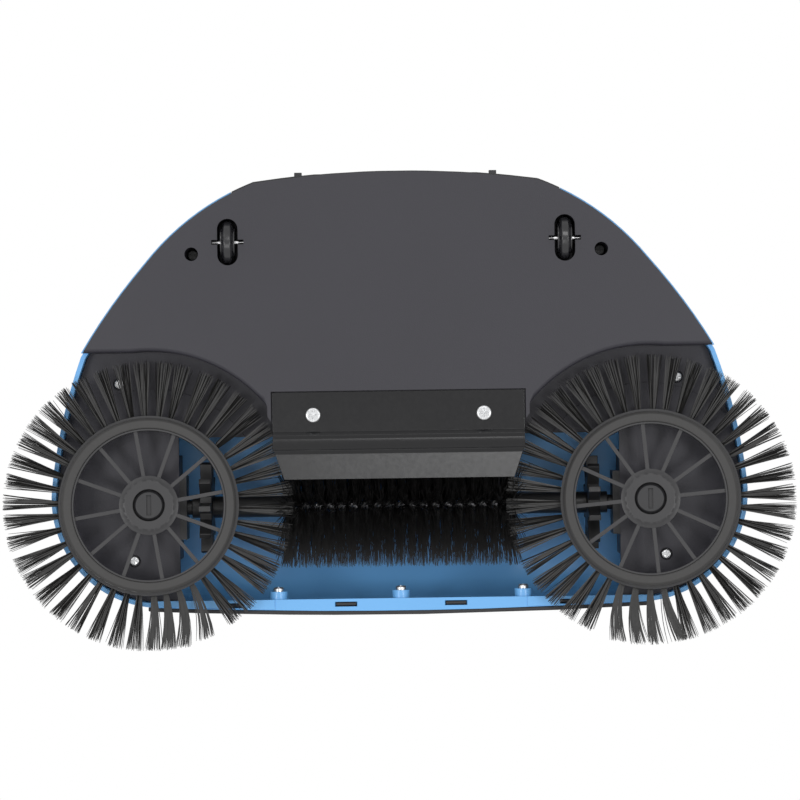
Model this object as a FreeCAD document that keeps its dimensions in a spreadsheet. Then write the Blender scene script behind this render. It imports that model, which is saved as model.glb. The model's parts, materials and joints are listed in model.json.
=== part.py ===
import FreeCAD, Part
import math
import os
import re
import Sketcher
from FreeCAD import Placement, Rotation, Vector

# Walk behind sweeper. Millimetres, +Z up, -Y is the front, +X is the operator's left.
# The origin is on the floor, under the middle of the whole object.

UP = Vector(0, 0, 1)
ACROSS = Vector(1, 0, 0)

doc = FreeCAD.newDocument("WalkBehindSweeper")
sheet = doc.addObject("Spreadsheet::Sheet", "Sizes")
sizes = {
    # sheet thicknesses and running gaps
    "wall": 2.4,
    "skinGap": 0.4,
    "runGap": 0.05,
    # plan outline of the shell, half of it
    "rearEdge": 127.1,
    "rearCornerIn": 76.0,
    "rearCornerBack": 121.8,
    "shoulderIn": 106.5,
    "shoulderBack": 105.6,
    "cheekIn": 134.7,
    "cheekBack": 79.0,
    "cheekMidIn": 153.5,
    "cheekMidBack": 55.5,
    "flankIn": 170.5,
    "flankBack": 29.5,
    "flankMidIn": 180.9,
    "flankMidBack": -5.25,
    "sideIn": 187.0,
    "sideBack": -41.0,
    "noseBack": -105.9,
    "frontSlant": 2.7,
    # heights of the base and the shell
    "panBottom": 6.0,
    "panRim": 30.0,
    "lobeBottom": 27.0,
    "skirtRear": 9.0,
    "skirtFront": 20.0,
    "shellTop": 80.0,
    "shellRound": 22.0,
    # base pan
    "lobeRadius": 82.0,
    "lobeEdge": 31.5,
    "lobeInner": 118.9,
    "tongueIn": 70.0,
    "tongueFront": -14.6,
    "padRadius": 62.0,
    "padDeep": 0.8,
    "flangeInset": 0.9,
    "tongueThick": 5.6,
    "scraperBedWide": 136.0,
    # screws, each given as its distance from the middle plane and from the origin's cross line
    "frontScrewIn": 66.0,
    "frontScrewFore": 98.2,
    "frontScrewHigh": 26.0,
    "noseScrewIn": 143.6,
    "noseScrewFore": 80.8,
    "flankScrewIn": 150.6,
    "flankScrewBack": 14.8,
    "rearScrewIn": 109.4,
    "rearScrewBack": 83.5,
    "rearScrewDeep": 15.0,
    "lobeScrewDeep": 1.4,
    "wellRadius": 3.6,
    "scraperScrewIn": 45.6,
    "scraperScrewFore": 3.2,
    "scraperFlange": 6.8,
    "scraperWide": 134.6,
    # side brush discs
    "discSpread": 133.8,
    "discFore": 50.0,
    "discTilt": 6.0,
    "spokeCount": 12,
    "spokeWide": 2.0,
    "spokeLow": 2.0,
    "spokeHigh": 6.0,
    "collarRadius": 15.8,
    "recessRadius": 8.6,
    "hubTop": 15.0,
    "postRadius": 5.0,
    "postHead": 16.0,
    "capRadius": 8.1,
    "ringInner": 41.0,
    "ringOuter": 46.6,
    "ringTall": 6.0,
    "bandInner": 40.0,
    "carrierInner": 43.0,
    "carrierOuter": 48.2,
    "carrierTop": 11.0,
    "tuftReach": 76.86,
    "tuftRoot": 4.0,
    "tuftTipLow": 3.6,
    "tuftTipTall": 2.4,
    # main roller
    "rollerFore": 52.6,
    "rollerHigh": 34.5,
    "rollerHalf": 56.4,
    "bristleRadius": 33.4,
    "coreRadius": 2.6,
    "gearInner": 101.2,
    "gearOuter": 107.6,
    "gearRadius": 25.2,
    "gearTeeth": 10,
    "gearRoot": 14.0,
    "toothWide": 5.6,
    "toothTip": 3.0,
    "gearHub": 5.8,
    "journalRadius": 4.0,
    "bushWide": 3.8,
    # rear wheels
    "wheelSpread": 90.0,
    "wheelBack": 89.7,
    "wheelRadius": 11.5,
    "wheelWide": 7.7,
    "slotWide": 10.9,
    "slotLong": 24.8,
    "pinRadius": 1.2,
    "pinLong": 17.0,
    # dust lid
    "lidHalf": 88.0,
    "lidFront": 62.0,
    "lidHingeHigh": 84.6,
    "knuckleRadius": 4.0,
    "knuckleWide": 11.0,
    "hingeSpread": 58.0,
    "hingePin": 1.5,
    "snapIn": 52.0,
    "snapBack": 124.9,
    # lip and bumper along the front
    "lipBack": 102.3,
    "lipEndIn": 68.0,
    "bumperThick": 2.2,
    "bumperTall": 16.0,
    "clipIn": 29.6,
    "clipOut": 91.4,
    "clipBack": 105.2,
    # handle
    "bailHalf": 102.0,
    "bailTall": 190.0,
    "bailRound": 40.0,
    "bailRod": 4.5,
    "pivotFore": 2.0,
    "pivotHigh": 94.0,
    "eyeRadius": 10.0,
    "eyeWide": 10.0,
    "pivotPin": 4.0,
    "tubeRadius": 11.0,
    "tubeBore": 9.6,
    "tubeLong": 240.0,
    "gripRadius": 15.0,
    "gripLong": 120.0,
    "hangHole": 6.0,
}
for row, (alias, number) in enumerate(sizes.items(), start=1):
    sheet.set("A%d" % row, alias)
    sheet.set("B%d" % row, str(number))
    sheet.setAlias("B%d" % row, alias)
doc.recompute()
nodes = []


def bound(expression):
    """The expression with every plain word read from the sheet."""
    return re.sub(r"[a-zA-Z]\w*", lambda word: "Sizes." + word.group(), str(expression))


def size(expression):
    return float(sheet.evalExpression(bound(expression)))


def bind(item, **expressions):
    for name, expression in expressions.items():
        item.setExpression(name, bound(expression))
    return item


def cylinder(name, radius, height, base=Vector(), axis=UP):
    item = bind(doc.addObject("Part::Cylinder", name), Radius=radius, Height=height)
    item.Placement = Placement(base, Rotation(UP, axis))
    return item


def box(name, length, width, height, middle, low):
    """A box whose plan is centred on middle (x, y) and whose underside is at low."""
    item = bind(doc.addObject("Part::Box", name), Length=length, Width=width, Height=height)
    corner = Vector(middle[0] - size(length) / 2, middle[1] - size(width) / 2, low)
    item.Placement = Placement(corner, Rotation())
    return item


def fuse(name, *parts):
    item = doc.addObject("Part::MultiFuse", name)
    item.Shapes = list(parts)
    item.Refine = True
    return item


def cut(name, base, *tools):
    item = doc.addObject("Part::Cut", name)
    item.Base = base
    item.Tool = tools[0] if len(tools) == 1 else fuse(name + "Tools", *tools)
    item.Refine = True
    return item


def common(name, *parts):
    item = doc.addObject("Part::MultiCommon", name)
    item.Shapes = list(parts)
    return item


def body_sketch(body, name, role):
    sketch = body.newObject("Sketcher::SketchObject", name)
    plane = next(f for f in body.Origin.OriginFeatures if f.Role == role)
    sketch.AttachmentSupport = [(plane, "")]
    sketch.MapMode = "FlatFace"
    return sketch


def draw_polygon(sketch, corners):
    """Closed straight outline. Each corner is two expressions that stay bound to the sheet."""
    points = [Vector(size(across), size(along), 0) for across, along in corners]
    for index, point in enumerate(points):
        sketch.addGeometry(Part.LineSegment(point, points[(index + 1) % len(points)]))
    for index, corner in enumerate(corners):
        before = (index - 1) % len(corners)
        sketch.addConstraint(Sketcher.Constraint("Coincident", before, 2, index, 1))
        for kind, expression in zip(("DistanceX", "DistanceY"), corner):
            value = size(expression)
            made = sketch.addConstraint(Sketcher.Constraint(kind, -1, 1, index, 1, value))
            sketch.setExpression("Constraints[%d]" % made, bound(expression))


def turned(name, profile):
    """A body turned about its own Z axis from corners given as radius and height."""
    body = doc.addObject("PartDesign::Body", name)
    sketch = body_sketch(body, name + "Profile", "XZ_Plane")
    draw_polygon(sketch, profile)
    turn = body.newObject("PartDesign::Revolution", name + "Turn")
    turn.Profile = sketch
    turn.ReferenceAxis = (sketch, ["V_Axis"])
    turn.Angle = 360
    return body


def padded(name, corners, thickness):
    """A body of one straight-sided outline on its XY plane, padded upward."""
    body = doc.addObject("PartDesign::Body", name)
    sketch = body_sketch(body, name + "Outline", "XY_Plane")
    draw_polygon(sketch, corners)
    pad = body.newObject("PartDesign::Pad", name + "Pad")
    pad.Profile = sketch
    bind(pad, Length=thickness)
    return body


def node(item, label, place=None):
    item.Label = label
    if place:
        item.Placement = place
    nodes.append(item)
    return item


# ---- plan outline shared by the shell, the pan and the bumper

def draw_outline(name, high, inset):
    """The outline at one height, moved inward by inset: rear arc, shoulder, cheek and flank
    arcs, round nose corners and front arc."""
    rear = Vector(size("rearCornerIn"), size("rearCornerBack"), 0)
    rear_mid = Vector(0, size("rearEdge"), 0)
    shoulder = Vector(size("shoulderIn"), size("shoulderBack"), 0)
    cheek = Vector(size("cheekIn"), size("cheekBack"), 0)
    cheek_mid = Vector(size("cheekMidIn"), size("cheekMidBack"), 0)
    flank = Vector(size("flankIn"), size("flankBack"), 0)
    flank_mid = Vector(size("flankMidIn"), size("flankMidBack"), 0)
    side = Vector(size("sideIn"), size("sideBack"), 0)
    flank_arc = Part.Arc(flank, flank_mid, side)
    # The nose arc leaves the flank arc and meets the front arc without a corner.
    slant = math.radians(size("frontSlant"))
    leaving = flank_arc.tangent(flank_arc.LastParameter)[0]
    start = math.atan2(leaving.y, leaving.x)
    chord = (start - math.pi + slant) / 2
    nose = side + Vector(math.cos(chord), math.sin(chord), 0) * (
        (size("noseBack") - side.y) / math.sin(chord))
    bulge = (nose - side).Length / 2 * math.tan((start - chord) / 2)
    nose_mid = (side + nose) / 2 + Vector(-math.sin(chord), math.cos(chord), 0) * bulge
    front_mid = Vector(0, nose.y - nose.x * math.tan(slant / 2), 0)

    def mirrored(point):
        return Vector(-point.x, point.y, 0)

    def outward(point, arc):
        return (point - Part.Circle(*arc).Center).normalize()

    def inward(point, before, after):
        both = outward(point, before) + outward(point, after)
        return point - both * (2 * size(inset) / both.Length ** 2)

    arcs = [(mirrored(rear), rear_mid, rear), (rear, shoulder, cheek), (cheek, cheek_mid, flank),
            (flank, flank_mid, side), (side, nose_mid, nose), (nose, front_mid, mirrored(nose))]
    corners = [inward(after[0], before, after) for before, after in zip(arcs, arcs[1:])]
    middles = [inward(arc[1], arc, arc) for arc in arcs]
    left = [Part.Arc(*points) for points in zip(corners, middles[1:], corners[1:])]
    right = [Part.Arc(mirrored(last), mirrored(middle), mirrored(first))
             for first, middle, last in zip(corners, middles[1:], corners[1:])]
    back = Part.Arc(mirrored(corners[0]), middles[0], corners[0])
    front = Part.Arc(corners[-1], middles[-1], mirrored(corners[-1]))
    sketch = doc.addObject("Sketcher::SketchObject", name)
    sketch.addGeometry([back, *left, front, *reversed(right)])
    sketch.Placement = Placement(Vector(0, 0, size(high)), Rotation())
    return sketch


def prism(name, inset, low, high):
    """The outline moved inward by inset, standing from low to high."""
    item = doc.addObject("Part::Extrusion", name)
    item.Base = draw_outline(name + "Outline", low, inset)
    item.DirMode = "Custom"
    item.Dir = UP
    item.Solid = True
    bind(item, LengthFwd="(%s) - (%s)" % (high, low))
    return item


def domed(name, inset, low, high):
    """The outline standing from low to high, its top edge rounded in three steps."""
    item = doc.addObject("Part::Loft", name)
    steps = [(0.0, low)]
    for degrees in (0, 30, 60, 90):
        angle = math.radians(degrees)
        rise = "(%s) - shellRound * %.4f" % (high, 1 - math.sin(angle))
        steps.append((1 - math.cos(angle), rise))
    sections = []
    for share, height in steps:
        moved = "%s + shellRound * %.4f" % (inset, share)
        sections.append(draw_outline(name + "Level", height, moved))
    item.Sections = sections
    item.Solid = True
    item.Ruled = True
    return item


def rounded(name, base, radius, picks):
    """A fillet on the edges of base for which picks is true."""
    doc.recompute()
    item = doc.addObject("Part::Fillet", name)
    item.Base = base
    edges = enumerate(base.Shape.Edges, start=1)
    item.Edges = [(index, size(radius), size(radius)) for index, edge in edges if picks(edge)]
    return item


# ---- places shared by a screw and the bosses it holds

def front_screw_spots():
    spot = Vector(size("frontScrewIn"), -size("frontScrewFore"), size("frontScrewHigh"))
    return [Vector(spot.x * share, spot.y, spot.z) for share in (0, 1, -1)]


def clip_spots():
    return [side * size(across) for across in ("clipIn", "clipOut") for side in (1, -1)]


def lobe_screw_spots(side):
    return [Vector(side * size("noseScrewIn"), -size("noseScrewFore"), 0),
            Vector(side * size("flankScrewIn"), size("flankScrewBack"), 0)]


def rear_screw_spot(side):
    return Vector(side * size("rearScrewIn"), size("rearScrewBack"), 0)


def scraper_screw_spots():
    return [Vector(side * size("scraperScrewIn"), -size("scraperScrewFore"), 0) for side in (1, -1)]


# ---- base pan: a low dust tray with two raised lobes over the side discs

def under_lobe(name, side, extra, low, high):
    """The space over one disc: round behind the disc, square outboard of it."""
    centre = Vector(side * size("discSpread"), -size("discFore"), size(low))
    tall = "(%s) - (%s)" % (high, low)
    round_part = cylinder(name + "Round", "lobeRadius + %s" % extra, tall, centre)
    reach = "lobeEdge + lobeRadius + discFore + %s" % extra
    middle = (side * (size("discSpread") + 50), size("lobeEdge + %s" % extra) - size(reach) / 2)
    square = box(name + "Square", "100", reach, tall, middle, size(low))
    inner_edge = size("tongueIn") - float(extra)
    keep_middle = (side * (inner_edge + 100), -30)
    keep = box(name + "Keep", "200", "300", tall, keep_middle, size(low))
    return common(name, fuse(name + "Both", round_part, square), keep)


def base_pan():
    tray = cut("Tray", prism("TrayOuter", "wall + skinGap", "panBottom", "panRim"),
               prism("TrayInner", "wall * 2 + skinGap", "panBottom + wall", "panRim + 1"))
    adds = [tray, prism("PanFlange", "flangeInset", "panBottom", "skirtRear - skinGap")]
    cuts = []
    inside = prism("PanLimit", "wall + skinGap", "panBottom", "panRim")
    lobe_top = "lobeBottom + wall"
    for side, tag in ((1, "Left"), (-1, "Right")):
        raised = under_lobe("Raised" + tag, side, size("wall"), "panBottom", lobe_top)
        adds.append(common("Lobe" + tag, raised, inside))
        space = under_lobe("Space" + tag, side, 0, "0", "lobeBottom - padDeep")
        cuts.append(space)
        disc_centre = Vector(side * size("discSpread"), -size("discFore"), 0)
        cuts.append(cylinder("TuftSweep" + tag, "tuftReach + 2", "lobeBottom - padDeep", disc_centre))
        ceiling = under_lobe("Ceiling" + tag, side, 0, "0", "lobeBottom")
        cuts.append(cut("CeilingRing" + tag, ceiling,
                        cylinder("CeilingPad" + tag, "padRadius", "lobeBottom + 1", disc_centre)))
        wheel_at = (side * size("wheelSpread"), size("wheelBack"))
        house = box("WheelHouse" + tag, "slotWide + 2 * wall + 4", "slotLong + 2 * wall",
                    "21", wheel_at, size("panBottom"))
        adds.append(common("WheelHouseTrim" + tag, house, inside))
        cuts += wheel_slot(tag, wheel_at)
        well = rear_screw_spot(side) + UP * size("panBottom")
        adds.append(cylinder("WellWall" + tag, "wellRadius + 2.2", "panRim - panBottom", well))
        cuts.append(cylinder("Well" + tag, "wellRadius", "rearScrewDeep + 1", well - UP))
        cuts.append(cylinder("WellThrough" + tag, "1.7", "60", well - UP))
        web_at = (side * (size("lobeInner") + size("wall") / 2), -size("rollerFore"))
        adds.append(box("BushWall" + tag, "wall", "56", "26", web_at, size("lobeBottom")))
        axis_at = Vector(side * 100, -size("rollerFore"), size("rollerHigh"))
        cuts.append(cylinder("BushRoom" + tag, "journalRadius + 1.5", "40", axis_at, ACROSS * side))
        for spot in lobe_screw_spots(side):
            cuts.append(cylinder("LobeScrewHole" + tag, "1.6", "40", spot))
            cuts.append(cylinder("LobeScrewWell" + tag, "3.4", "lobeBottom + lobeScrewDeep", spot))
    tongue = size("tongueIn + wall") * 2
    adds.append(box("TongueFloor", tongue, "30", "tongueThick",
                    (0, size("tongueFront") + 15), size("panBottom")))
    cuts.append(box("ScraperBed", "scraperBedWide", "27.5", "9.2", (0, -4.2), 0))
    for spot in scraper_screw_spots():
        cuts.append(cylinder("ScraperHole", "1.7", "30", spot))
    throat_deep = size("tongueFront") + 130
    cuts.append(box("Throat", "lobeInner * 2", throat_deep, "60",
                    (0, size("tongueFront") - throat_deep / 2), 0))
    return node(cut("BasePan", fuse("PanBlank", *adds), *cuts), "base_pan")


def wheel_slot(tag, middle):
    """An obround well with a notch on each side in which the wheel's pin snaps home."""
    radius = "slotWide / 2"
    deep = "18.6 + panBottom"
    run = size("slotLong - slotWide") / 2
    ends = [cylinder("SlotEnd" + tag, radius, deep, Vector(middle[0], middle[1] + shift, 0))
            for shift in (run, -run)]
    waist = box("SlotWaist" + tag, "slotWide", "slotLong - slotWide", deep, middle, 0)
    notch = box("Notch" + tag, "pinLong + 0.2", "2 * pinRadius + 0.04", "wheelRadius", middle, 0)
    seat_from = Vector(middle[0] - size("pinLong + 0.2") / 2, middle[1], size("wheelRadius"))
    seat = cylinder("PinSeat" + tag, "pinRadius + 0.02", "pinLong + 0.2", seat_from, ACROSS)
    return ends + [waist, notch, seat]


# ---- top shell and dust lid: one rounded cover, split behind the handle

def cover(name):
    outer = domed(name + "Outer", "0", "skirtRear", "shellTop")
    inner = domed(name + "Inner", "wall", "skirtRear - 5", "shellTop - wall")
    return cut(name, outer, inner)


def lid_space(name, gap):
    """The rear block taken by the lid, drawn in by gap on its sides and front."""
    front = size("lidFront") + gap
    long = 140 - front
    return box(name, "(lidHalf - %s) * 2" % gap, str(long), "120", (0, front + long / 2), 0)


def knuckles(name, centres, wide):
    """Hinge barrels on the lid's axis, each with a web down to the cover's top."""
    hinge_at = Vector(0, size("lidFront"), size("lidHingeHigh"))
    made = []
    for across in centres:
        start = hinge_at + ACROSS * (across - wide / 2)
        made.append(cylinder(name, "knuckleRadius", str(wide), start, ACROSS))
    return made


def top_shell():
    front_low = box("FrontUndercut", "500", "lobeEdge + 200", "skirtFront",
                    (0, size("lobeEdge") - size("lobeEdge + 200") / 2), 0)
    skin = cut("ShellSkin", cover("ShellCover"), lid_space("LidRoom", 0), front_low)
    lip_block = prism("LipBlock", "wall / 2", "skirtFront", "skirtFront + wall")
    lip_hole = box("LipHole", "400", "400", "20", (0, 200 - size("lipBack")), size("skirtFront") - 5)
    lip_keep = box("LipKeep", "266", "60", "60", (0, -110), 0)
    lip = common("FrontLip", cut("LipStrip", lip_block, lip_hole), lip_keep)
    end_block = prism("LipEndBlock", "wall / 4", "skirtFront - wall / 3", "skirtFront + wall / 2")
    end_gap = box("LipEndGap", "lipEndIn * 2", "60", "60", (0, -110), 0)
    lip_ends = common("LipEnds", cut("LipEndStrip", end_block, lip_hole, end_gap), lip_keep)
    bosses = []
    lugs = []
    cuts = []
    forward = Vector(0, -1, 0)
    for spot in front_screw_spots():
        bosses.append(cylinder("FrontBoss", "4.7", "8.8", spot, forward))
        cuts.append(cylinder("FrontBossHole", "1.6", "9.6", spot - forward, forward))
    for across in clip_spots():
        pocket_at = (across, -size("clipBack"))
        cuts.append(box("ClipPocket", "12", "2.6", "8", pocket_at, size("skirtFront") - 2))
        window_at = (across, -size("clipBack") - 2.7)
        cuts.append(box("ClipWindow", "12", "8", "3", window_at, size("skirtFront") + 3))
    for side, tag in ((1, "Left"), (-1, "Right")):
        for spot in lobe_screw_spots(side):
            foot = spot + UP * size("lobeBottom + wall")
            bosses.append(cylinder("LobeBoss" + tag, "4.5", "shellTop - lobeBottom - 3", foot))
            cuts.append(cylinder("LobeBossHole" + tag, "1.3", "14", foot - UP))
        well = rear_screw_spot(side) + UP * size("panRim")
        bosses.append(cylinder("RearBoss" + tag, "wellRadius + 2.2", "shellTop - panRim - 1", well))
        cuts.append(cylinder("RearBossHole" + tag, "1.3", "14", well - UP))
        hinge = side * size("hingeSpread")
        shift = size("knuckleWide + skinGap")
        lugs += hinge_lugs("ShellLug" + tag, (hinge - shift, hinge + shift), -1)
        bore_from = Vector(hinge - 30, size("lidFront"), size("lidHingeHigh"))
        cuts.append(cylinder("ShellLugBore" + tag, "hingePin + runGap", "60", bore_from, ACROSS))
    inside = domed("BossLimit", "wall / 2", "skirtRear", "shellTop - wall / 2")
    trimmed = common("ShellBosses", fuse("BossBlank", *bosses), inside)
    blank = fuse("ShellBlank", skin, lip, lip_ends, trimmed, *lugs)
    return node(cut("TopShell", blank, *cuts), "top_shell")


def hinge_lugs(name, centres, way):
    """Barrels joined to the cover by a block that runs forward (-1) or back (1)."""
    long = size("knuckleRadius + 6")
    low = size("shellTop - wall")
    made = []
    for across in centres:
        barrel = knuckles(name + "Barrel", (across,), size("knuckleWide"))[0]
        middle = (across, size("lidFront") + way * (long / 2 + 0.5))
        web = box(name + "Web", "knuckleWide", str(long), "lidHingeHigh - shellTop + wall", middle, low)
        made.append(fuse(name, barrel, web))
    return made


def dust_lid():
    skin = common("LidSkin", cover("LidCover"), lid_space("LidBlock", size("skinGap")))
    adds = [skin]
    cuts = []
    for side, tag in ((1, "Left"), (-1, "Right")):
        hinge = side * size("hingeSpread")
        adds += hinge_lugs("LidLug" + tag, (hinge,), 1)
        bore_from = Vector(hinge - 30, size("lidFront"), size("lidHingeHigh"))
        cuts.append(cylinder("LidLugBore" + tag, "hingePin + runGap", "60", bore_from, ACROSS))
        hook_at = (side * size("snapIn"), size("snapBack"))
        adds.append(box("SnapHook" + tag, "4", "3", "6", hook_at, size("skirtRear")))
    cuts.append(box("LidThinEdge", "98", "2.4", "4", (0, size("rearEdge") - 0.5), size("skirtRear") - 1))
    return node(cut("DustLid", fuse("LidBlank", *adds), *cuts), "dust_lid")


def hinge_pin(side, name):
    start = Vector(side * size("hingeSpread") - 16.5, size("lidFront"), size("lidHingeHigh"))
    node(cylinder("HingePin", "hingePin", "33", start, ACROSS), name + "_lid_pin")


# ---- front bumper: a strip round the nose

def front_bumper():
    """The strip, with a clip behind each slot of the lip."""
    outer = prism("BumperOuter", "-bumperThick", "skirtFront", "skirtFront + bumperTall")
    inner = prism("BumperInner", "0", "skirtFront - 1", "skirtFront + bumperTall + 1")
    keep = box("BumperKeep", "272", "40", "60", (0, -100), 0)
    parts = [common("BumperBand", cut("BumperHoop", outer, inner), keep)]
    for across in clip_spots():
        foot_at = (across, -size("clipBack"))
        parts.append(box("ClipFoot", "11.2", "2", "5", foot_at, size("skirtFront") + 0.8))
        arm_at = (across, -size("clipBack") - 1.4)
        parts.append(box("ClipArm", "11.2", "4.8", "2.6", arm_at, size("skirtFront") + 3.2))
    return node(fuse("Bumper", *parts), "front_bumper")


# ---- screws: pan heads with a cross recess

def screw(name, spot, way, head, shank, long):
    """A screw driven along way from spot, where its head seats."""
    head_part = cylinder(name + "Head", head, "2.2", UP * -2.2)
    rim = rounded(name + "Round", head_part, "1.0", lambda edge: edge.BoundBox.ZMax < -2)
    stem = cylinder(name + "Stem", shank, long)
    cross = [box(name + "Slot", wide, deep, "1.4", (0, 0), -2.4)
             for wide, deep in (("4.4", "0.9"), ("0.9", "4.4"))]
    item = fuse(name, cut(name + "Top", rim, *cross), stem)
    item.Placement = Placement(spot, Rotation(UP, way))
    return item


def screws():
    under_bed = UP * size("scraperFlange")
    scraper = [screw("ScraperScrew", spot + under_bed, UP, "4.05", "1.65", "6")
               for spot in scraper_screw_spots()]
    node(fuse("ScraperScrews", *scraper), "scraper_screws")
    forward = Vector(0, -1, 0)
    front = [screw("FrontScrew", spot, forward, "2.9", "1.55", "8.4") for spot in front_screw_spots()]
    node(fuse("FrontScrews", *front), "front_screws")
    seat = UP * size("lobeBottom + lobeScrewDeep")
    lobe = [screw("LobeScrew", spot + seat, UP, "2.7", "1.25", "10")
            for side in (1, -1) for spot in lobe_screw_spots(side)]
    node(fuse("LobeScrews", *lobe), "lobe_screws")
    seat = UP * size("panBottom + rearScrewDeep")
    rear = [screw("RearScrew", rear_screw_spot(side) + seat, UP, "3.2", "1.25", "20")
            for side in (1, -1)]
    node(fuse("RearScrews", *rear), "rear_screws")


# ---- scraper: a glossy lip that sweeps dust from the floor into the tray

def scraper_blade():
    """Profile from the flange under the pan to the floor, seen from the operator's left."""
    profile = [("9.0", "scraperFlange"), ("9.0", "9.2"), ("-17.4", "9.2"), ("-37.4", "2.6"),
               ("-37.4", "0.8"), ("-24.0", "3.4"), ("-22.0", "2.2"), ("-20.0", "4.6"), ("-16.0", "5.8"),
               ("-14.0", "4.8"), ("-12.0", "scraperFlange")]
    body = doc.addObject("PartDesign::Body", "Scraper")
    sketch = body_sketch(body, "ScraperProfile", "YZ_Plane")
    draw_polygon(sketch, profile)
    pad = body.newObject("PartDesign::Pad", "ScraperPad")
    pad.Profile = sketch
    bind(pad, Length="scraperWide")
    pad.Midplane = True
    cuts = [cylinder("ScraperBladeHole", "1.75", "20", spot) for spot in scraper_screw_spots()]
    for side in (1, -1):
        corner = padded("ScraperCorner", [("0", "0"), ("10", "0"), ("10", "20"), ("7", "20")], "20")
        spot = Vector(side * 59.6, -42, 0)
        turn = Rotation(Vector(0, 1, 0), 180) if side < 0 else Rotation()
        corner.Placement = Placement(spot + (UP * 20 if side < 0 else Vector()), turn)
        cuts.append(corner)
    return node(cut("ScraperCut", body, *cuts), "scraper_blade")


# ---- side brush discs: each leans so that only its front outer rim meets the floor

def disc_frame(side):
    """The frame of one disc: origin in the plane of its ring's underside, Z along its axle."""
    lean = math.radians(size("discTilt"))
    aside = math.sin(lean) * math.sqrt(0.5)
    axle = Vector(side * aside, -aside, math.cos(lean))
    high = size("ringOuter") * math.sin(lean)
    middle = Vector(side * size("discSpread"), -size("discFore"), high)
    return Placement(middle, Rotation(UP, axle))


def spokes(name, phase):
    made = []
    inner = size("recessRadius + 2")
    long = size("bandInner") + 0.6 - inner
    step = 360 / size("spokeCount")
    for index in range(int(size("spokeCount"))):
        spoke = bind(doc.addObject("Part::Box", name), Length=long, Width="spokeWide",
                     Height="spokeHigh - spokeLow")
        turn = Rotation(UP, index * step + phase)
        spoke.Placement = Placement(Vector(), turn) * Placement(
            Vector(inner, -size("spokeWide") / 2, size("spokeLow")), Rotation())
        made.append(spoke)
    return made


def brush_disc(side, name):
    frame = disc_frame(side)
    hub = turned("Hub", [("postRadius + runGap", "5"), ("recessRadius", "5"), ("recessRadius", "0"),
                         ("collarRadius - 3.4", "0"), ("collarRadius - 1.8", "1.2"),
                         ("collarRadius", "1.8"),
                         ("collarRadius", "spokeHigh"), ("recessRadius", "spokeHigh + 3"),
                         ("recessRadius", "hubTop"), ("postRadius + runGap", "hubTop")])
    carrier = turned("Carrier", [("bandInner", "0.8"), ("ringInner - 0.1", "0.8"),
                                 ("ringInner - 0.1", "ringTall"), ("carrierOuter", "ringTall"),
                                 ("carrierOuter", "carrierTop"), ("carrierInner", "carrierTop"),
                                 ("carrierInner", "ringTall + 1.5"), ("bandInner", "ringTall + 1.5")])
    # One disc shows a spoke on its inboard line and the other a gap, because the two
    # drive gears stand half a tooth apart.
    phase = 15 if side > 0 else 0
    # The roller's axis runs a little ahead of the discs' axles, so the spokes are turned to it.
    reach = size("discSpread - (gearInner + gearOuter) / 2")
    ahead = math.degrees(math.asin(size("rollerFore - discFore") / reach))
    disc = fuse("Disc", hub, carrier, *spokes("Spoke", phase + side * ahead + yaw_offset(side)))
    node(disc, name + "_brush_disc", frame)
    ring = turned("Ring", [("ringInner", "0.6"), ("ringInner + 0.6", "0"), ("ringOuter - 1.4", "0"),
                           ("ringOuter", "1.4"), ("ringOuter", "ringTall"), ("ringInner", "ringTall")])
    node(ring, name + "_friction_ring", frame)
    tufts = turned("Tufts", [("carrierOuter", "8.6 - tuftRoot / 2"), ("tuftReach", "tuftTipLow"),
                             ("tuftReach", "tuftTipLow + tuftTipTall"),
                             ("carrierOuter", "8.6 + tuftRoot / 2")])
    node(tufts, name + "_disc_tufts", frame)


def yaw_offset(side):
    """The angle of the inboard line in the leaning frame of a disc."""
    inboard = disc_frame(side).Rotation.inverted().multVec(ACROSS * -side)
    return math.degrees(math.atan2(inboard.y, inboard.x))


def disc_post(side, name):
    """Axle post: a leaning shank on a foot that is flush with the underside of the lobe."""
    frame = disc_frame(side)
    shank = cylinder("PostShank", "postRadius", "36", frame.multVec(UP * 4.6), frame.Rotation.multVec(UP))
    foot = cylinder("PostFoot", "12", "30", frame.multVec(UP * size("postHead")),
                    frame.Rotation.multVec(UP))
    above = box("PostTrim", "80", "80", "60", (side * size("discSpread"), -size("discFore")),
                size("lobeBottom - padDeep"))
    node(cut("Post", fuse("PostBlank", shank, foot), above), name + "_disc_post")
    cap = turned("Cap", [("0", "1"), ("capRadius - 1.2", "1"), ("capRadius", "2.2"),
                         ("capRadius", "4.6"), ("0", "4.6")])
    slot = box("CapSlot", "2.4", "10.6", "2", (0, 0), 0.4)
    node(cut("CapCut", cap, slot), name + "_disc_cap", frame)


# ---- main roller: a twisted wire core with bristles and a toothed drive gear at each end

def roller():
    fore = -size("rollerFore")
    high = size("rollerHigh")
    start = Vector(-size("gearOuter"), fore, high)
    core = cylinder("Core", "coreRadius", "2 * gearOuter", start, ACROSS)
    node(core, "roller_wire_core")
    bristle_from = Vector(-size("rollerHalf"), fore, high)
    brush = cylinder("BristleBlock", "bristleRadius", "2 * rollerHalf", bristle_from, ACROSS)
    hole = cylinder("BristleHole", "coreRadius", "2 * rollerHalf", bristle_from, ACROSS)
    node(cut("Bristles", brush, hole), "roller_bristles")


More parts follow.
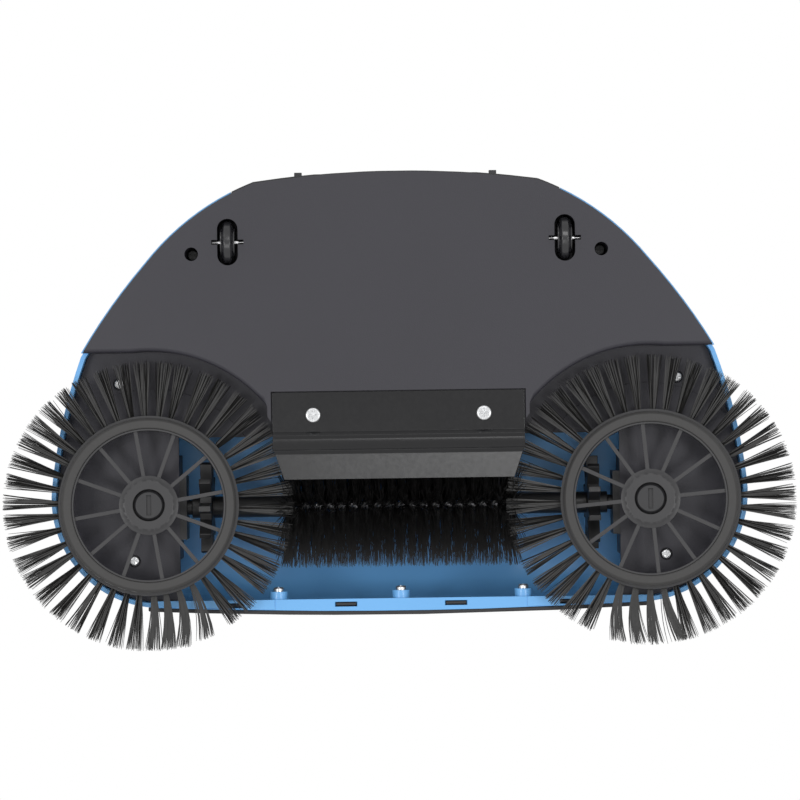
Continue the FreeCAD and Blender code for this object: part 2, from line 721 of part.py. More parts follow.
def drive_gear(side, name):
    """A gear whose long tapered teeth drop between the spokes of the disc under it."""
    root = "gearRoot - 2"
    wheel = cylinder("GearWheel", "gearRoot", "gearOuter - gearInner", Vector(0, 0, size("gearInner")))
    hub_from = "rollerHalf + 1"
    hub = cylinder("GearHub", "gearHub", "112.4 - (%s)" % hub_from, Vector(0, 0, size(hub_from)))
    journal = cylinder("GearJournal", "journalRadius", "5.2", Vector(0, 0, 112))
    teeth = []
    count = int(size("gearTeeth"))
    for index in range(count):
        tooth = padded("Tooth", [(root, "-toothWide / 2"), ("gearRadius", "-toothTip / 2"),
                                 ("gearRadius", "toothTip / 2"), (root, "toothWide / 2")],
                       "gearOuter - gearInner")
        turn = Rotation(UP, index * 360 / count)
        tooth.Placement = Placement(Vector(0, 0, size("gearInner")), turn)
        teeth.append(tooth)
    blank = fuse("GearBlank", wheel, hub, journal, *teeth)
    bore = cylinder("GearBore", "coreRadius", "gearOuter", Vector())
    # The gear's own Z axis points outboard. Its first tooth hangs straight down on the
    # left side, and on the right side a gap does.
    outboard = ACROSS * side
    down = Vector(0, 0, -1)
    turn = Rotation(down, outboard.cross(down), outboard, "ZXY")
    half_step = 0 if side > 0 else 180 / count
    spin = Placement(Vector(), Rotation(UP, half_step))
    place = Placement(Vector(0, -size("rollerFore"), size("rollerHigh")), turn) * spin
    node(cut("Gear", blank, bore), name + "_drive_gear", place)


def roller_bush(side, name):
    """A bearing block on the inner wall of each lobe, round the gear's journal."""
    near = size("lobeInner - bushWide")
    middle = (side * (near + size("bushWide") / 2), -size("rollerFore"))
    block = box("BushBlock", "bushWide", "34", "20", middle, size("rollerHigh") - 8)
    bore_from = Vector(side * (near - 1), -size("rollerFore"), size("rollerHigh"))
    bore = cylinder("BushBore", "journalRadius + runGap", "bushWide + 2", bore_from, ACROSS * side)
    node(cut("Bush", block, bore), name + "_roller_bush")


# ---- rear wheels

def rear_wheel(side, name):
    centre = Vector(side * size("wheelSpread"), size("wheelBack"), size("wheelRadius"))
    wheel = turned("Wheel", [("pinRadius + runGap", "-wheelWide / 2"), ("8", "-wheelWide / 2"),
                             ("8", "-wheelWide / 2 + 0.8"), ("wheelRadius - 2", "-wheelWide / 2 + 0.8"),
                             ("wheelRadius", "-1.6"), ("wheelRadius", "1.6"),
                             ("wheelRadius - 2", "wheelWide / 2 - 0.8"), ("8", "wheelWide / 2 - 0.8"),
                             ("8", "wheelWide / 2"), ("pinRadius + runGap", "wheelWide / 2")])
    node(wheel, name + "_rear_wheel", Placement(centre, Rotation(UP, ACROSS)))
    pin_from = centre - ACROSS * size("pinLong") / 2
    node(cylinder("WheelPin", "pinRadius", "pinLong", pin_from, ACROSS), name + "_wheel_pin")


# ---- handle: a bail that pivots on the shell, with a tube in three lengths and a grip

def pivot_bracket(side, name):
    """A bracket screwed on the shell's flat top, with the ear that the bail hangs on."""
    inner = size("bailHalf - eyeWide / 2 - skinGap")
    ear_middle = side * (inner - 4)
    fore = size("pivotFore")
    foot = box("BracketFoot", "24", "34", "5", (side * (inner - 12), fore), size("shellTop"))
    ear = box("BracketEar", "8", "20", "pivotHigh - shellTop", (ear_middle, fore), size("shellTop"))
    crown_from = Vector(side * (inner - 8), fore, size("pivotHigh"))
    crown = cylinder("BracketCrown", "10", "8", crown_from, ACROSS * side)
    bore_from = Vector(side * (inner - 20), fore, size("pivotHigh"))
    bore = cylinder("BracketBore", "pivotPin", "30", bore_from, ACROSS * side)
    node(cut("Bracket", fuse("BracketBlank", foot, ear, crown), bore), name + "_pivot_bracket")
    pin_long = "8 + 2 * skinGap + eyeWide + 2"
    pin = cylinder("PivotPinShank", "pivotPin", pin_long, crown_from, ACROSS * side)
    head_from = crown_from + ACROSS * side * size("8 + 2 * skinGap + eyeWide")
    head = cylinder("PivotPinHead", "7", "2.5", head_from, ACROSS * side)
    node(fuse("PivotPin", pin, head), name + "_pivot_pin")


def handle_bail():
    """A steel rod bent into a square arch, with an eye at each foot and a socket on top."""
    half = size("bailHalf")
    low = size("pivotHigh") + size("eyeRadius") - 2
    high = size("pivotHigh + bailTall")
    bend = size("bailRound")
    fore = size("pivotFore")
    turn = bend * (1 - math.sqrt(0.5))
    left_foot = Vector(half, fore, low)
    left_bend = Vector(half, fore, high - bend)
    left_top = Vector(half - bend, fore, high)
    left_mid = Vector(half - turn, fore, high - turn)

    def mirrored(point):
        return Vector(-point.x, point.y, point.z)

    path = Part.Wire([
        Part.LineSegment(left_foot, left_bend).toShape(),
        Part.Arc(left_bend, left_mid, left_top).toShape(),
        Part.LineSegment(left_top, mirrored(left_top)).toShape(),
        Part.Arc(mirrored(left_top), mirrored(left_mid), mirrored(left_bend)).toShape(),
        Part.LineSegment(mirrored(left_bend), mirrored(left_foot)).toShape(),
    ])
    section = Part.Wire(Part.makeCircle(size("bailRod"), left_foot, UP))
    rod = doc.addObject("Part::Feature", "BailRod")
    rod.Shape = path.makePipeShell([section], True, True)
    parts = [rod]
    cuts = []
    for side in (1, -1):
        eye_from = Vector(side * (half - size("eyeWide") / 2), fore, size("pivotHigh"))
        parts.append(cylinder("BailEye", "eyeRadius", "eyeWide", eye_from, ACROSS * side))
        cuts.append(cylinder("BailBore", "pivotPin + runGap", "eyeWide + 2",
                             eye_from - ACROSS * side, ACROSS * side))
    socket_low = high - 14
    socket = cylinder("BailSocket", "tubeRadius + 3", "44", Vector(0, fore, socket_low))
    parts.append(socket)
    cuts.append(cylinder("SocketBore", "tubeRadius", "40", Vector(0, fore, high)))
    return node(cut("Bail", fuse("BailBlank", *parts), *cuts), "handle_bail")


def handle_tubes():
    """Three tube lengths, one above the other, held by two couplings."""
    fore = size("pivotFore")
    start = size("pivotHigh + bailTall")
    long = size("tubeLong")
    for index, name in enumerate(("lower_tube", "middle_tube", "upper_tube")):
        low = Vector(0, fore, start + index * long)
        tube = cylinder("TubeWall", "tubeRadius", "tubeLong", low)
        bore = cylinder("TubeBore", "tubeBore", "tubeLong", low)
        node(cut("Tube", tube, bore), name)
    for index, name in enumerate(("lower_coupling", "upper_coupling"), start=1):
        middle = Placement(Vector(0, fore, start + index * long), Rotation())
        sleeve = turned("Coupling", [("tubeRadius", "-24"), ("tubeRadius + 2", "-24"),
                                     ("tubeRadius + 3", "-18"), ("tubeRadius + 3", "18"),
                                     ("tubeRadius + 2", "24"), ("tubeRadius", "24")])
        node(sleeve, name, middle)
    top = start + 3 * long
    grip = turned("Grip", [("tubeRadius", "-gripLong"), ("gripRadius + 1", "-gripLong"),
                           ("gripRadius + 1", "4 - gripLong"), ("gripRadius - 1", "12 - gripLong"),
                           ("gripRadius", "-gripLong / 2"), ("gripRadius - 1", "-10"),
                           ("gripRadius", "0"), ("tubeRadius", "0")])
    node(grip, "handle_grip", Placement(Vector(0, fore, top), Rotation()))
    plug = cylinder("HangerBase", "gripRadius", "6", Vector(0, fore, top))
    tab = box("HangerTab", "22", "8", "16", (0, fore), top + 4)
    eye_at = Vector(0, fore + 4, top + 20)
    crown = cylinder("HangerCrown", "11", "8", eye_at, Vector(0, -1, 0))
    hole = cylinder("HangHoleTool", "hangHole", "20", eye_at + Vector(0, 6, 0), Vector(0, -1, 0))
    node(cut("Hanger", fuse("HangerBlank", plug, tab, crown), hole), "hanger_cap")


base_pan()
top_shell()
dust_lid()
front_bumper()
screws()
scraper_blade()
roller()
for side, name in ((1, "left"), (-1, "right")):
    disc_post(side, name)
    brush_disc(side, name)
    drive_gear(side, name)
    roller_bush(side, name)
    rear_wheel(side, name)
    hinge_pin(side, name)
    pivot_bracket(side, name)
handle_bail()
handle_tubes()
doc.recompute()

# ---- check every object, then write each sub-part

for item in doc.Objects:
    if "Invalid" in item.State or "Error" in item.State:
        raise RuntimeError("%s is in state %s" % (item.Label, item.State))
for item in nodes:
    if item.Shape.isNull() or not item.Shape.isValid():
        raise RuntimeError("%s has no valid shape" % item.Label)
os.makedirs("parts", exist_ok=True)
for item in nodes:
    item.Shape.exportStep("parts/%s.step" % item.Label)
print("%d sub-parts written" % len(nodes))
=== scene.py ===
import bpy
import json
import math
import random
from mathutils import Matrix, Vector

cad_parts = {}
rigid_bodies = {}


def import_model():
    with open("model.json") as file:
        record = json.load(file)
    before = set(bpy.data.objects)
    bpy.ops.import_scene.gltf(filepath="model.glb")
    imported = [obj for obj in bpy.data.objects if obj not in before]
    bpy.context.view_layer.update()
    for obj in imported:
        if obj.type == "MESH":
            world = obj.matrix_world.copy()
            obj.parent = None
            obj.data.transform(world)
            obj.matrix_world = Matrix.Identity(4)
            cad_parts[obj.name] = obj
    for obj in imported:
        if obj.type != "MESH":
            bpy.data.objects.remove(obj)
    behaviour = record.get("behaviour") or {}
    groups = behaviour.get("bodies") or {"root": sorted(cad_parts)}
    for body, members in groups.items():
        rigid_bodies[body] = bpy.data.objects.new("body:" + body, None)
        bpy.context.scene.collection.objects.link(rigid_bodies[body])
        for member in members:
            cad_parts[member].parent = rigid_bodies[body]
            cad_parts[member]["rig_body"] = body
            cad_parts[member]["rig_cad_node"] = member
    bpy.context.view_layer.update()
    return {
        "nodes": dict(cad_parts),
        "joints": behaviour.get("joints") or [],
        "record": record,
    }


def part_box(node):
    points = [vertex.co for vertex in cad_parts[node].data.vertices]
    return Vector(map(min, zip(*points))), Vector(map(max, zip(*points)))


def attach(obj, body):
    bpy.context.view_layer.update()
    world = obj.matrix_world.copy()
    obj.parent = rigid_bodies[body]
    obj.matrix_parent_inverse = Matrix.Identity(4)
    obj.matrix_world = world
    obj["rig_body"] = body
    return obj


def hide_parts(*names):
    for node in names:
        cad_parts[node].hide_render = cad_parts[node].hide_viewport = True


# Walk behind sweeper, looks. Metres, +Z up, -Y is the front, +X is the operator's left.

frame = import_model()
random.seed(11)
mm = 0.001
joints = {joint["name"]: joint for joint in frame["joints"]}
bodies = frame["record"]["behaviour"]["bodies"]
bodyOf = {node: body for body, nodes in bodies.items() for node in nodes}
sides = {"left": 1, "right": -1}


# selection and edit mode

def deselectAll():
    for item in bpy.context.selected_objects:
        item.select_set(False)


def makeActive(item):
    deselectAll()
    item.select_set(True)
    bpy.context.view_layer.objects.active = item
    return item


def editMode(item):
    makeActive(item)
    bpy.ops.object.mode_set(mode="EDIT")
    bpy.ops.mesh.select_all(action="SELECT")


def objectMode():
    bpy.ops.object.mode_set(mode="OBJECT")


def applyModifier(item, kind, **settings):
    modifier = item.modifiers.new(kind.title(), kind)
    for name, value in settings.items():
        setattr(modifier, name, value)
    makeActive(item)
    bpy.ops.object.modifier_apply(modifier=modifier.name)


def smooth(item, degrees=35):
    makeActive(item)
    bpy.ops.object.shade_smooth_by_angle(angle=math.radians(degrees))


def paintOver(item, material):
    item.data.materials.clear()
    item.data.materials.append(material)


# one modelled shape copied to many places, then joined into one piece
def stamp(sources, places, name):
    copies = []
    for index, place in enumerate(places):
        source = sources[index % len(sources)]
        copied = source.copy()
        copied.data = source.data.copy()
        copied.data.transform(place)
        bpy.context.scene.collection.objects.link(copied)
        copies.append(copied)
    deselectAll()
    for copied in copies:
        copied.select_set(True)
    bpy.context.view_layer.objects.active = copies[0]
    bpy.ops.object.join()
    joined = bpy.context.view_layer.objects.active
    joined.name = name
    return joined


def discard(items):
    for item in items:
        bpy.data.objects.remove(item)


# shader nodes: Wire wraps a socket so that maths reads as plain expressions

class Wire:
    def __init__(self, paint, socket):
        self.paint = paint
        self.socket = socket

    def calc(self, operation, first, second):
        made = self.paint.node("ShaderNodeMath", {"operation": operation}, {0: first, 1: second})
        return self.paint.out(made)

    def __add__(self, other):
        return self.calc("ADD", self, other)

    def __mul__(self, other):
        return self.calc("MULTIPLY", self, other)

    __radd__ = __add__
    __rmul__ = __mul__


class Paint:
    def __init__(self, name, **values):
        self.material = bpy.data.materials.new(name)
        self.material.use_nodes = True
        self.tree = self.material.node_tree
        self.shader = self.tree.nodes["Principled BSDF"]
        for socket, value in values.items():
            self.shader.inputs[socket.replace("_", " ")].default_value = value
        self.place = self.out(self.node("ShaderNodeTexCoord", {}, {}), "Object")

    def node(self, kind, settings, sockets):
        made = self.tree.nodes.new(kind)
        for name, value in settings.items():
            setattr(made, name, value)
        for name, value in sockets.items():
            if isinstance(value, Wire):
                self.tree.links.new(value.socket, made.inputs[name])
            else:
                made.inputs[name].default_value = value
        return made

    def out(self, made, name=0):
        return Wire(self, made.outputs[name])

    def feed(self, socket, wire):
        self.tree.links.new(wire.socket, self.shader.inputs[socket])

    def noise(self, scale, detail=2.0, stretch=(1, 1, 1)):
        moved = self.out(self.node("ShaderNodeMapping", {}, {"Vector": self.place, "Scale": stretch}))
        made = self.node("ShaderNodeTexNoise", {}, {"Vector": moved, "Scale": scale, "Detail": detail})
        return self.out(made, "Fac")

    def blend(self, factor, first, second):
        made = self.node("ShaderNodeMix", {"data_type": "RGBA"}, {"Factor": factor})
        for index, value in ((6, first), (7, second)):
            if isinstance(value, Wire):
                self.tree.links.new(value.socket, made.inputs[index])
            else:
                made.inputs[index].default_value = (*value, 1)
        return self.out(made, 2)

    def bump(self, height, distance, strength=1.0):
        sockets = {"Height": height, "Distance": distance, "Strength": strength}
        made = self.node("ShaderNodeBump", {}, sockets)
        self.feed("Normal", self.out(made))


def mouldedPlastic(name, dark, light, roughness, grain, grainDepth, coat=0.0):
    # base colour drifts a little, roughness follows fine moulding grain
    paint = Paint(name, Coat_Weight=coat, Coat_Roughness=0.12)
    cloud = paint.noise(14, 3)
    fine = paint.noise(grain, 2)
    paint.feed("Base Color", paint.blend(cloud, dark, light))
    paint.feed("Roughness", fine * 0.16 + cloud * 0.1 + (roughness - 0.13))
    paint.bump(fine, grainDepth)
    return paint.material


def brushedMetal(name, colour, roughness, stretch):
    paint = Paint(name, Metallic=1.0)
    streak = paint.noise(900, 2, stretch)
    paint.feed("Base Color", paint.blend(streak, tuple(c * 0.8 for c in colour), colour))
    paint.feed("Roughness", streak * 0.2 + (roughness - 0.1))
    paint.bump(streak, 0.00003)
    return paint.material


def bristleMaterial(name, root, tip, roughness):
    # filaments differ a little from one to the next
    paint = Paint(name, Specular_IOR_Level=0.6)
    paint.feed("Base Color", paint.blend(paint.noise(260, 2), root, tip))
    paint.feed("Roughness", paint.noise(900, 1) * 0.2 + (roughness - 0.1))
    return paint.material


finishes = {
    "base_plastic": mouldedPlastic(
        "basePlastic", (0.020, 0.019, 0.026), (0.028, 0.027, 0.036), 0.5, 1600, 0.00006),
    "shell_plastic": mouldedPlastic(
        "shellPlastic", (0.14, 0.40, 0.76), (0.16, 0.44, 0.82), 0.36, 700, 0.00001, 0.2),
    "bumper_plastic": mouldedPlastic(
        "bumperPlastic", (0.010, 0.010, 0.012), (0.018, 0.018, 0.02), 0.45, 1200, 0.00003),
    "lid_plastic": mouldedPlastic(
        "lidPlastic", (0.010, 0.010, 0.012), (0.016, 0.016, 0.019), 0.28, 800, 0.00001, 0.4),
    "scraper_plastic": mouldedPlastic(
        "scraperPlastic", (0.006, 0.006, 0.007), (0.009, 0.009, 0.010), 0.2, 500, 0.000004),
    "disc_plastic": mouldedPlastic(
        "discPlastic", (0.026, 0.026, 0.028), (0.040, 0.039, 0.041), 0.42, 1300, 0.00003),
    "ring_rubber": mouldedPlastic(
        "ringRubber", (0.032, 0.031, 0.031), (0.046, 0.045, 0.044), 0.6, 900, 0.00005),
    "cap_plastic": mouldedPlastic(
        "capPlastic", (0.018, 0.018, 0.02), (0.028, 0.028, 0.03), 0.4, 1200, 0.00002),
    "gear_plastic": mouldedPlastic(
        "gearPlastic", (0.012, 0.012, 0.013), (0.02, 0.02, 0.021), 0.4, 1200, 0.00002),
    "wheel_plastic": mouldedPlastic(
        "wheelPlastic", (0.012, 0.012, 0.014), (0.018, 0.018, 0.02), 0.25, 900, 0.00001, 0.5),
    "fitting_plastic": mouldedPlastic(
        "fittingPlastic", (0.014, 0.014, 0.016), (0.022, 0.022, 0.024), 0.42, 1200, 0.00003),
    "grip_foam": mouldedPlastic(
        "gripFoam", (0.016, 0.016, 0.017), (0.028, 0.028, 0.029), 0.85, 1400, 0.0002),
    "tube_steel": mouldedPlastic(
        "tubePaint", (0.52, 0.53, 0.55), (0.6, 0.61, 0.63), 0.3, 1500, 0.00001, 0.4),
    "screw_black": mouldedPlastic(
        "screwBlack", (0.008, 0.008, 0.009), (0.014, 0.014, 0.015), 0.35, 900, 0.00001),
    "screw_zinc": brushedMetal("screwZinc", (0.78, 0.79, 0.8), 0.3, (1, 1, 1)),
    "pin_steel": brushedMetal("pinSteel", (0.75, 0.75, 0.76), 0.24, (0.1, 1, 1)),
    "core_wire": brushedMetal("coreWire", (0.72, 0.72, 0.73), 0.3, (0.2, 1, 1)),
    "bail_steel": brushedMetal("bailSteel", (0.7, 0.7, 0.71), 0.22, (1, 1, 0.1)),
    "tuft_bristle": bristleMaterial("tuftBristle", (0.007, 0.007, 0.007), (0.022, 0.021, 0.020), 0.42),
    "roller_bristle": bristleMaterial("rollerBristle", (0.002, 0.002, 0.002), (0.006, 0.005, 0.005), 0.6),
}
slotOf = {part["node"]: part["material_slot"] for part in frame["record"]["subparts"]}
print("materials made:", len(finishes))


# camera: straight below the head, front edge at the bottom of the picture
cameraSet = {
    "lens": 135, "distance": 1.606, "centreX": -0.0009, "centreY": 0.0042, "roll": 0.8, "height": 0.012,
}


def makeCamera(settings):
    below = settings["height"] - settings["distance"]
    bpy.ops.object.camera_add(location=(settings["centreX"], settings["centreY"], below))
    camera = bpy.context.object
    camera.name = "viewCamera"
    camera.rotation_mode = "QUATERNION"
    # looks up +Z with +Y at the top of the picture, which puts +X on the left
    upright = Matrix(((-1, 0, 0), (0, 1, 0), (0, 0, -1))).transposed().to_quaternion()
    camera.rotation_quaternion = upright
    roll = Matrix.Rotation(math.radians(settings["roll"]), 3, "Z")
    camera.rotation_quaternion.rotate(roll.to_quaternion())
    camera.data.lens = settings["lens"]
    camera.data.sensor_width = 36
    camera.data.clip_start = 0.05
    camera.data.clip_end = 20
    bpy.context.scene.camera = camera


makeCamera(cameraSet)

# soft studio light, mostly from below, with a dim room behind a white backdrop
lightSet = {
    "backdrop": 1.0,
    "room": 0.7,
    "lamps": (
        ("lampBelowFront", (0.1, -0.5, -1.45), 0.5, 1.2),
        ("lampBelowBack", (-0.15, 0.66, -1.45), 0.5, 2.4),
        ("lampBelowRear", (0.7, 1.1, -1.2), 0.5, 2),
        ("lampBelowLeft", (0.85, -0.08, -1.4), 0.4, 5),
        ("lampBelowRight", (-0.85, -0.08, -1.4), 0.4, 5),
        ("lampAbove", (0.9, -1.4, 2.2), 1.2, 18),
        ("lampAboveRear", (-1.4, 1.5, 1.8), 1.2, 12),
    ),
}


def makeLights(settings):
    world = bpy.data.worlds.new("studioWorld")
    bpy.context.scene.world = world
    world.use_nodes = True
    tree = world.node_tree
    background = tree.nodes["Background"]
    background.inputs["Color"].default_value = (1, 1, 1, 1)
    seen = tree.nodes.new("ShaderNodeLightPath")
    strength = tree.nodes.new("ShaderNodeMapRange")
    strength.inputs["To Min"].default_value = settings["room"]
    strength.inputs["To Max"].default_value = settings["backdrop"]
    tree.links.new(seen.outputs["Is Camera Ray"], strength.inputs["Value"])
    tree.links.new(strength.outputs["Result"], background.inputs["Strength"])
    for name, place, width, power in settings["lamps"]:
        bpy.ops.object.light_add(type="AREA", location=place)
        lamp = bpy.context.object
        lamp.name = name
        lamp.data.size = width
        lamp.data.energy = power
        lamp.rotation_mode = "QUATERNION"
        lamp.rotation_quaternion = (Vector((0, 0, 0.03)) - Vector(place)).to_track_quat("-Z", "Y")


makeLights(lightSet)
bpy.context.scene.view_settings.view_transform = "Standard"


# pale floor, seen only from above, that neither shades nor lights the underside
def makeFloor():
    bpy.ops.mesh.primitive_plane_add(size=12, location=(0, 0, -0.0002))
    floor = bpy.context.object
    floor.name = "studioFloor"
    paint = Paint("floorPaint", Roughness=0.7)
    paint.feed("Base Color", paint.blend(paint.noise(2, 1), (0.82, 0.82, 0.83), (0.86, 0.86, 0.86)))
    clear = paint.out(paint.node("ShaderNodeBsdfTransparent", {}, {}))
    under = paint.out(paint.node("ShaderNodeNewGeometry", {}, {}), "Backfacing")
    solid = paint.out(paint.shader)
    mixed = paint.out(paint.node("ShaderNodeMixShader", {}, {0: under, 1: solid, 2: clear}))
    paint.tree.links.new(mixed.socket, paint.tree.nodes["Material Output"].inputs["Surface"])
    paintOver(floor, paint.material)
    floor.visible_shadow = False
    floor.visible_diffuse = False
    floor.visible_glossy = False
    floor.visible_transmission = False


makeFloor()
print("camera, lights and floor made")


# filaments: a three sided strand drawn out in steps, each step bent a little more
def makeStrand(name, length, thick, bend, steps=3):
    bpy.ops.mesh.primitive_circle_add(vertices=3, radius=thick / 2, fill_type="NGON")
    strand = makeActive(bpy.context.object)
    strand.name = name
    editMode(strand)
    for step in range(steps):
        side = bend * ((step + 1) ** 2 - step ** 2) / steps ** 2
        bpy.ops.mesh.extrude_region_move(TRANSFORM_OT_translate={"value": (side, 0, length / steps)})
    bpy.ops.transform.resize(value=(0.5, 0.5, 0.5))
    objectMode()
    return strand


# side brush discs
tuftSet = {
    "count": 42, "strands": 52, "rootRadius": 47.4 * mm, "rootHigh": 8.6 * mm, "reach": 30.4 * mm,
    "drop": 4.3 * mm, "rootWide": 2.5 * mm, "rootTall": 1.9 * mm, "fan": 0.088, "thick": 0.46 * mm,
    "bends": (-0.6, -0.2, 0.2, 0.6), "steps": 3, "sweptSteps": 5, "kinds": 7,
    # random lean of a strand and of a tuft, share and size of stray strands, shortest and longest strand
    "lean": 0.008, "tipLean": 0.01, "tipSpread": 0.05, "turn": 0.008, "wilt": 0.02,
    "strayShare": 0.03, "stray": 2.2, "shortest": 0.94, "longest": 1.01,
    # worn tufts: which place on each disc, and how far the tip is swept aside
    "swept": {
        "left": {23: 6.5, 24: 8.0, 25: 4.0, 26: 2.0},
        "right": {37: -3.5, 38: -6.5, 39: -8.0, 36: -5.0},
    },
}


def discFrame(side):
    joint = joints[side + "_disc_spin"]
    axle = Vector(joint["axis"]).normalized()
    return Matrix.Translation(Vector(joint["pos_m"])) @ axle.to_track_quat("Z", "Y").to_matrix().to_4x4()


def makeTuft(settings, name, sweep=0.0):
    # a tuft stands along +Z from its root, fanning out a little more at its tip
    steps = settings["sweptSteps"] if sweep else settings["steps"]
    strands = [makeStrand("strand", settings["reach"], settings["thick"], (bend + sweep) * mm, steps)
               for bend in settings["bends"]]
    places = []
    for strand in range(settings["strands"]):
        across = random.uniform(-0.5, 0.5)
        deep = random.uniform(-0.5, 0.5)
        root = Matrix.Translation((across * settings["rootWide"], deep * settings["rootTall"], 0))
        lean = across * 2 * settings["fan"] + random.gauss(0, settings["lean"])
        tip = deep * settings["tipSpread"] + random.gauss(0, settings["tipLean"])
        stray = 1 if random.random() > settings["strayShare"] else settings["stray"]
        turn = Matrix.Rotation(lean * stray, 4, "Y") @ Matrix.Rotation(tip, 4, "X")
        roll = Matrix.Rotation(0 if sweep else random.choice((0, math.pi)), 4, "Z")
        long = Matrix.Diagonal((1, 1, random.uniform(settings["shortest"], settings["longest"]), 1))
        places.append(root @ turn @ long @ roll)
    tuft = stamp(strands, places, name)
    discard(strands)
    return tuft


def makeTufts(side, settings, tufts):
    base = discFrame(side)
    slope = math.atan2(settings["drop"], settings["reach"])
    swept = settings["swept"][side]
    kinds = []
    places = []
    bent = []
    for index in range(settings["count"]):
        angle = 2 * math.pi * index / settings["count"] + random.gauss(0, settings["turn"])
        spin = Matrix.Rotation(angle, 4, "Z")
        root = Matrix.Translation((settings["rootRadius"], 0, settings["rootHigh"]))
        outward = Matrix.Rotation(math.pi / 2 + slope, 4, "Y")
        # the fan lies in the plane of the disc
        flat = Matrix.Rotation(math.pi / 2, 4, "Z")
        wilt = Matrix.Rotation(random.gauss(0, settings["wilt"]), 4, "X")
        places.append(base @ spin @ root @ outward @ flat @ wilt)
        if index in swept:
            bent.append(makeTuft(settings, "sweptTuft", swept[index]))
            kinds.append(bent[-1])
        else:
            kinds.append(tufts[index % len(tufts)])
    joined = stamp(kinds, places, side + "TuftRing")
    discard(bent)
    paintOver(joined, finishes["tuft_bristle"])
    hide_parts(side + "_disc_tufts")
    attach(joined, side + "_disc")


tuftKinds = [makeTuft(tuftSet, "tuft") for index in range(tuftSet["kinds"])]
for side in sides:
    makeTufts(side, tuftSet, tuftKinds)
discard(tuftKinds)
print("disc tufts made")


# main roller: strands held in a twisted wire, wound as a spiral
rollerSet = {
    "whorls": 152, "strands": 44, "half": 60.6 * mm, "reach": 34.0 * mm, "thick": 0.4 * mm, "turns": 19.0,
    "bends": (-1.2, 0.3, 1.4), "steps": 2, "kinds": 5, "spread": 0.46, "lean": 0.03, "shortest": 0.93,
    "splay": 0.15, "splayFrom": 0.86, "wire": 1.7 * mm, "slices": 160,
}


def makeRoller(settings):
    axis = Vector(joints["roller_spin"]["pos_m"])
    long, thick, steps = settings["reach"], settings["thick"], settings["steps"]
    strands = [makeStrand("rollerStrand", long, thick, bend * mm, steps) for bend in settings["bends"]]
    whorls = []
    for kind in range(settings["kinds"]):
        places = []
        for strand in range(settings["strands"]):
            around = random.choice((0, math.pi)) + random.gauss(0, settings["spread"])
            lean = Matrix.Rotation(random.gauss(0, settings["lean"]), 4, "Y")
            stretch = Matrix.Diagonal((1, 1, random.uniform(settings["shortest"], 1.0), 1))
            places.append(Matrix.Rotation(around, 4, "X") @ lean @ stretch)
        whorls.append(stamp(strands, places, "whorl"))
    places = []
    for index in range(settings["whorls"]):
        share = 2 * (index + 0.5) / settings["whorls"] - 1
        shift = Matrix.Translation(axis + Vector((settings["half"] * share, 0, 0)))
        places.append(shift @ Matrix.Rotation((share + 1) / 2 * settings["turns"] * math.pi, 4, "X"))
    brush = stamp(whorls, places, "rollerBrush")
    # the last whorls at each end lean outwards
    for vertex in brush.data.vertices:
        share = (vertex.co.x - axis.x) / settings["half"]
        reach = math.hypot(vertex.co.y - axis.y, vertex.co.z - axis.z)
        past = max(0, abs(share) - settings["splayFrom"]) / (1 - settings["splayFrom"])
        vertex.co.x += math.copysign(settings["splay"] * reach * past, share)
    discard(strands + whorls)
    paintOver(brush, finishes["roller_bristle"])
    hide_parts("roller_bristles")
    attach(brush, "roller")
    makeCore(settings, axis)


def makeCore(settings, axis):
    # two bright wires twisted round each other
    low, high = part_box("roller_wire_core")
    bpy.ops.mesh.primitive_circle_add(vertices=8, radius=settings["wire"], fill_type="NGON")
    core = makeActive(bpy.context.object)
    core.name = "twistedCore"
    editMode(core)
    bpy.ops.mesh.extrude_region_move(TRANSFORM_OT_translate={"value": (0, 0, high.x - low.x)})
    objectMode()
    core.data.transform(Matrix.Translation((settings["wire"], 0, 0)))
    second = core.copy()
    second.data = core.data.copy()
    second.data.transform(Matrix.Rotation(math.pi, 4, "Z"))
    bpy.context.scene.collection.objects.link(second)
    deselectAll()
    core.select_set(True)
    second.select_set(True)
    bpy.context.view_layer.objects.active = core
    bpy.ops.object.join()
    long = high.x - low.x
    editMode(core)
    for cutIndex in range(1, settings["slices"]):
        bpy.ops.mesh.select_all(action="SELECT")
        bpy.ops.mesh.bisect(plane_co=(0, 0, long * cutIndex / settings["slices"]), plane_no=(0, 0, 1))
    objectMode()
    pitch = 4 * settings["half"] / settings["turns"]
    for vertex in core.data.vertices:
        turn = Matrix.Rotation(-vertex.co.z / pitch * 2 * math.pi, 3, "Z")
        vertex.co = turn @ vertex.co
    core.data.transform(Matrix.Translation((low.x, axis.y, axis.z)) @ Matrix.Rotation(math.pi / 2, 4, "Y"))
    smooth(core, 50)
    paintOver(core, finishes["core_wire"])
    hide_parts("roller_wire_core")
    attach(core, "roller")


makeRoller(rollerSet)
print("roller made")


# carried over nodes: a copy with its doubles merged and its sharp edges eased
easeSet = {
    "base_pan": 0.9, "top_shell": 0.5, "dust_lid": 0.5, "front_bumper": 0.6, "scraper_blade": 0.35,
    "left_brush_disc": 0.25, "right_brush_disc": 0.25,
    "left_friction_ring": 0.5, "right_friction_ring": 0.5,
    "left_disc_cap": 0.2, "right_disc_cap": 0.2, "left_rear_wheel": 0.3, "right_rear_wheel": 0.3,
    "left_drive_gear": 0.35, "right_drive_gear": 0.35,
    "left_pivot_bracket": 0.6, "right_pivot_bracket": 0.6,
    "scraper_screws": 0.2, "front_screws": 0.2, "lobe_screws": 0.15, "rear_screws": 0.15,
    "handle_bail": 0.5, "handle_grip": 0.8, "hanger_cap": 0.6, "lower_coupling": 0.4, "upper_coupling": 0.4,
}


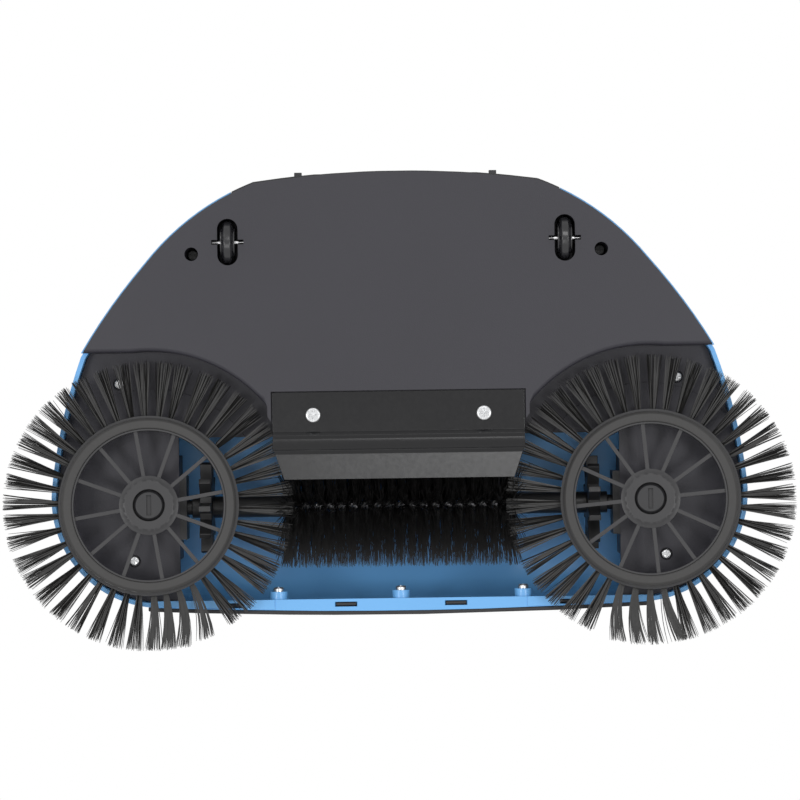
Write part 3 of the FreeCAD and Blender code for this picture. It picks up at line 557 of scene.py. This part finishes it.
# the pan's underside rolls off where it steps up over each disc
rollOffSet = {
    "width": 4.5 * mm, "segments": 5, "discOut": 133.8 * mm, "discFore": 50 * mm, "arcFrom": 80 * mm,
    "arcTo": 83 * mm, "straightAt": 31.5 * mm, "straightFrom": 130 * mm, "straightTo": 166 * mm,
    "inmost": 70.5 * mm, "flatWithin": 0.2 * mm, "straightWithin": 1 * mm,
}


def rollOff(pan, settings):
    floor = min(vertex.co.z for vertex in pan.data.vertices)
    makeActive(pan)
    bpy.ops.object.mode_set(mode="EDIT")
    bpy.ops.mesh.select_mode(type="EDGE")
    bpy.ops.mesh.select_all(action="DESELECT")
    objectMode()
    for edge in pan.data.edges:
        first, second = (pan.data.vertices[index].co for index in edge.vertices)
        middle = (first + second) / 2
        out = abs(middle.x)
        flat = max(first.z, second.z) < floor + settings["flatWithin"]
        disc = Vector((out - settings["discOut"], middle.y + settings["discFore"])).length
        onArc = settings["arcFrom"] < disc < settings["arcTo"]
        level = abs(middle.y - settings["straightAt"]) < settings["straightWithin"]
        onStraight = level and settings["straightFrom"] < out < settings["straightTo"]
        edge.select = flat and out > settings["inmost"] and (onArc or onStraight)
    bpy.ops.object.mode_set(mode="EDIT")
    bpy.ops.mesh.bevel(offset=settings["width"], segments=settings["segments"], affect="EDGES",
                       clamp_overlap=True)
    bpy.ops.mesh.select_mode(type="VERT")
    objectMode()


def easeNode(node, width):
    source = frame["nodes"][node]
    piece = source.copy()
    piece.data = source.data.copy()
    piece.parent = None
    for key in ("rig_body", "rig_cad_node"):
        del piece[key]
    bpy.context.scene.collection.objects.link(piece)
    piece.name = node + "_eased"
    editMode(piece)
    bpy.ops.mesh.remove_doubles(threshold=0.00001)
    bpy.ops.mesh.tris_convert_to_quads()
    bpy.ops.mesh.select_all(action="SELECT")
    bpy.ops.mesh.dissolve_limited(angle_limit=math.radians(1))
    objectMode()
    if node == "base_pan":
        rollOff(piece, rollOffSet)
    applyModifier(piece, "BEVEL", width=width * mm, segments=2, limit_method="ANGLE",
                  angle_limit=math.radians(40), harden_normals=False, use_clamp_overlap=True)
    smooth(piece, 35)
    applyModifier(piece, "WEIGHTED_NORMAL", keep_sharp=True)
    paintOver(piece, finishes[slotOf[node]])
    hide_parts(node)
    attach(piece, bodyOf[node])


for node, width in easeSet.items():
    easeNode(node, width)
for node, item in frame["nodes"].items():
    paintOver(item, finishes[slotOf[node]])
print("carried over nodes finished")
